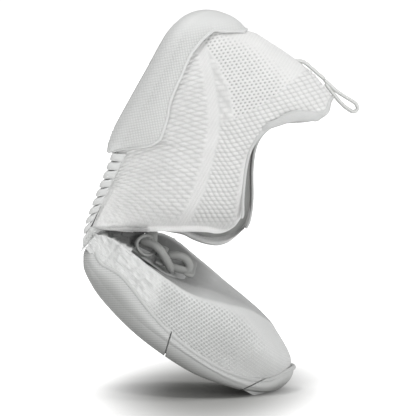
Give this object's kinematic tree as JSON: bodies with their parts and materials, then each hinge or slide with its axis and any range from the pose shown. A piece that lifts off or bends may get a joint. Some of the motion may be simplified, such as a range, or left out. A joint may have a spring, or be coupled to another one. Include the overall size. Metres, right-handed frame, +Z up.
{
  "type": "folding knit trainer",
  "caption": "Soft lace-up knit trainer for a right foot, folded in half at its ribbed arch and standing on its toe, with a rubber heel cup, rim and toe bumper.",
  "frame": {"origin": "middle of the bounding box on the floor that the toe stands on", "axes": "+Z up; the folded shoe is seen from its lateral side along +Y; +X is the side that the collar opens to, and the sole is on the -X side"},
  "size_m": [0.1296, 0.09, 0.1819],
  "materials": {
    "rubber": "matt moulded rubber with a fine waffle texture",
    "tread": "matt ground rubber",
    "knit": "engineered knit with mesh and cable zones",
    "padded": "smooth brushed knit over soft foam",
    "lining": "brushed tricot",
    "foam": "satin expanded foam",
    "board": "pressed fibre",
    "plastic": "matt thermoplastic sheet",
    "lace": "flat tubular woven cord",
    "cord": "round woven cord"
  },
  "bodies": {
    "forefoot": {"forefoot_rim": "rubber", "ball_tread": "tread", "forefoot_foam": "foam", "forefoot_board": "board", "insole_front": "padded", "vamp_upper": "knit", "vamp_flex_panel": "knit", "tongue": "padded", "lace_row_front": "lace", "lace_row_rear": "lace", "lace_loop": "lace", "lace_knot": "lace", "lace_bow_front": "lace", "lace_bow_rear": "lace"},
    "heel": {"heel_cup": "rubber", "heel_tread": "tread", "heel_foam": "foam", "heel_board": "board", "insole_rear": "padded", "rear_upper": "knit", "heel_counter": "plastic", "collar_padding": "padded", "rear_lining": "lining", "collar_binding": "padded", "pull_loop_tape": "cord", "arch_web": "lining", "arch_rib_01": "rubber", "arch_rib_02": "rubber", "arch_rib_03": "rubber", "arch_rib_04": "rubber", "arch_rib_05": "rubber", "arch_rib_06": "rubber", "arch_rib_07": "rubber", "arch_rib_08": "rubber", "arch_rib_09": "rubber", "arch_rib_10": "rubber"},
    "toe": {"toe_rim": "rubber", "toe_bumper": "rubber", "toe_tread": "tread", "toe_foam": "foam", "toe_board": "board", "insole_toe": "padded", "toe_box_upper": "knit", "toe_puff": "plastic"},
    "heel_loop": {"pull_loop": "cord"}
  },
  "joints": [
    {"name": "arch_flex", "type": "hinge", "parent": "forefoot", "child": "heel", "pos_m": [-0.06253, 0.00079, 0.06935], "axis": [0, 1, 0], "range_deg": [-81, 0], "deforming": ["tongue", "arch_web"]},
    {"name": "toe_flex", "type": "hinge", "parent": "forefoot", "child": "toe", "pos_m": [-0.02148, 0.00079, 0.03094], "axis": [0, 1, 0], "range_deg": [-20, 0], "deforming": ["vamp_flex_panel"]},
    {"name": "heel_loop_swing", "type": "hinge", "parent": "heel", "child": "heel_loop", "pos_m": [0.04789, 0.00079, 0.1481], "axis": [0, 1, 0], "range_deg": [-60, 0]}
  ]
}
